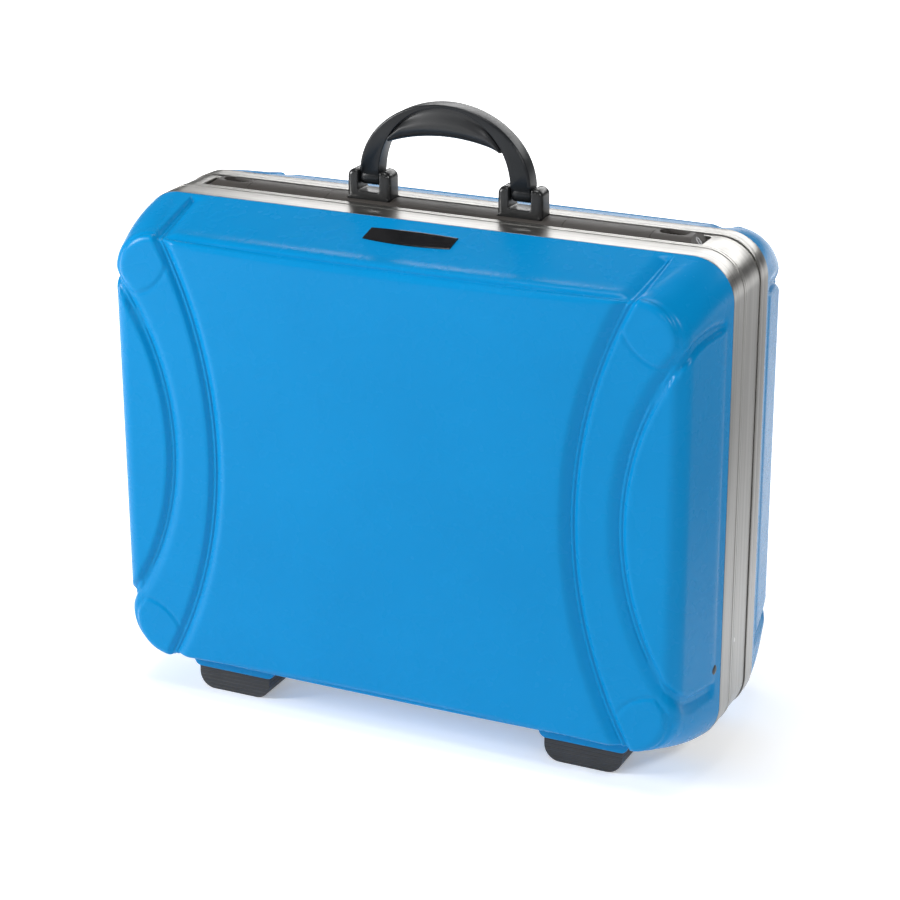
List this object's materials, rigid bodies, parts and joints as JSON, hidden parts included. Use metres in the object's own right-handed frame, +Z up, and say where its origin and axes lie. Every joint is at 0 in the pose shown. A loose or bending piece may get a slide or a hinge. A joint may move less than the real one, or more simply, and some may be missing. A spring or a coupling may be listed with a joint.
{
  "type": "hard tool case",
  "caption": "Hard tool case of two moulded shells in aluminium frames, hinged along the bottom, with slotted stays, lever latches and a drop handle.",
  "frame": {"origin": "on the floor under the middle of the closed case, level with the undersides of the feet", "axes": "+X to the right along the case, +Y from the lid to the base, +Z up towards the handle"},
  "size_m": [0.49, 0.2086, 0.482],
  "materials": {
    "shell_plastic": "fine grained satin, bright blue",
    "frame_aluminium": "satin anodised extrusion",
    "strip_plastic": "fine grained matte, warm dark grey",
    "bracket_plastic": "smooth black with a soft gloss",
    "handle_plastic": "fine grained black",
    "grip_plastic": "fine grained black, a little softer",
    "slide_plastic": "black, ribbed top",
    "foot_plastic": "black with fine level ribs",
    "badge_plastic": "smooth bare black",
    "plain_steel": "zinc plated, slightly dull",
    "hinge_steel": "plain drawn finish",
    "stay_steel": "plain rolled finish",
    "rivet_black": "blackened rivet head",
    "lock_chrome": "polished"
  },
  "bodies": {
    "base": {"base_shell": "shell_plastic", "base_frame": "frame_aluminium", "handle_plate": "strip_plastic", "left_lock_housing": "strip_plastic", "right_lock_housing": "strip_plastic", "left_handle_bracket": "bracket_plastic", "right_handle_bracket": "bracket_plastic", "handle_pins": "plain_steel", "bracket_screws": "plain_steel", "latch_hinge_pins": "plain_steel", "base_hinge_leaf": "hinge_steel", "hinge_pin": "hinge_steel", "base_hinge_rivets": "hinge_steel", "base_feet": "foot_plastic", "base_foot_screws": "plain_steel", "stay_studs": "stay_steel"},
    "lid": {"lid_shell": "shell_plastic", "lid_frame": "frame_aluminium", "badge_plate": "badge_plastic", "lid_hinge_leaf": "hinge_steel", "lid_hinge_rivets": "hinge_steel", "lid_feet": "foot_plastic", "lid_foot_screws": "plain_steel", "latch_keepers": "plain_steel", "stay_pivots": "rivet_black"},
    "handle": {"handle_arch": "handle_plastic", "handle_grip": "grip_plastic"},
    "left_lever": {"left_latch_lever": "strip_plastic", "left_latch_claw": "plain_steel"},
    "right_lever": {"right_latch_lever": "strip_plastic", "right_latch_claw": "plain_steel"},
    "left_slide": {"left_thumb_slide": "slide_plastic"},
    "right_slide": {"right_thumb_slide": "slide_plastic"},
    "left_key": {"left_key_cylinder": "lock_chrome"},
    "right_key": {"right_key_cylinder": "lock_chrome"},
    "left_stay_arm": {"left_stay": "stay_steel"},
    "right_stay_arm": {"right_stay": "stay_steel"}
  },
  "joints": [
    {"name": "lid_hinge", "type": "hinge", "parent": "base", "child": "lid", "pos_m": [0, -0.0128, 0.0135], "axis": [1, 0, 0], "range_deg": [0, 90]},
    {"name": "handle_swing", "type": "hinge", "parent": "base", "child": "handle", "pos_m": [0, 0.0035, 0.4195], "axis": [1, 0, 0], "range_deg": [-90, 90]},
    {"name": "left_latch_lift", "type": "hinge", "parent": "base", "child": "left_lever", "pos_m": [-0.1332, 0.0131, 0.39927], "axis": [-1, 0, 0], "range_deg": [0, 70]},
    {"name": "right_latch_lift", "type": "hinge", "parent": "base", "child": "right_lever", "pos_m": [0.1332, 0.0131, 0.39927], "axis": [-1, 0, 0], "range_deg": [0, 70]},
    {"name": "left_slide_travel", "type": "slide", "parent": "base", "child": "left_slide", "axis": [-1, 0, 0], "range_m": [0, 0.005], "stiffness_N_per_m": 150},
    {"name": "right_slide_travel", "type": "slide", "parent": "base", "child": "right_slide", "axis": [1, 0, 0], "range_m": [0, 0.005], "stiffness_N_per_m": 150},
    {"name": "left_key_turn", "type": "hinge", "parent": "base", "child": "left_key", "pos_m": [-0.202, 0.0035, 0.3995], "axis": [-0.766, 0, 0.6428], "range_deg": [0, 90]},
    {"name": "right_key_turn", "type": "hinge", "parent": "base", "child": "right_key", "pos_m": [0.202, 0.0035, 0.3995], "axis": [0.766, 0, 0.6428], "range_deg": [0, 90]},
    {"name": "left_stay_swing", "type": "hinge", "parent": "lid", "child": "left_stay_arm", "pos_m": [-0.223, -0.048, 0.08534], "axis": [1, 0, 0], "range_deg": [-45, 0]},
    {"name": "right_stay_swing", "type": "hinge", "parent": "lid", "child": "right_stay_arm", "pos_m": [0.223, -0.048, 0.08534], "axis": [1, 0, 0], "range_deg": [-45, 0]}
  ],
  "couplings": [
    {"joint": "left_stay_swing", "follows": "lid_hinge", "ratio": -0.5},
    {"joint": "right_stay_swing", "follows": "lid_hinge", "ratio": -0.5}
  ]
}
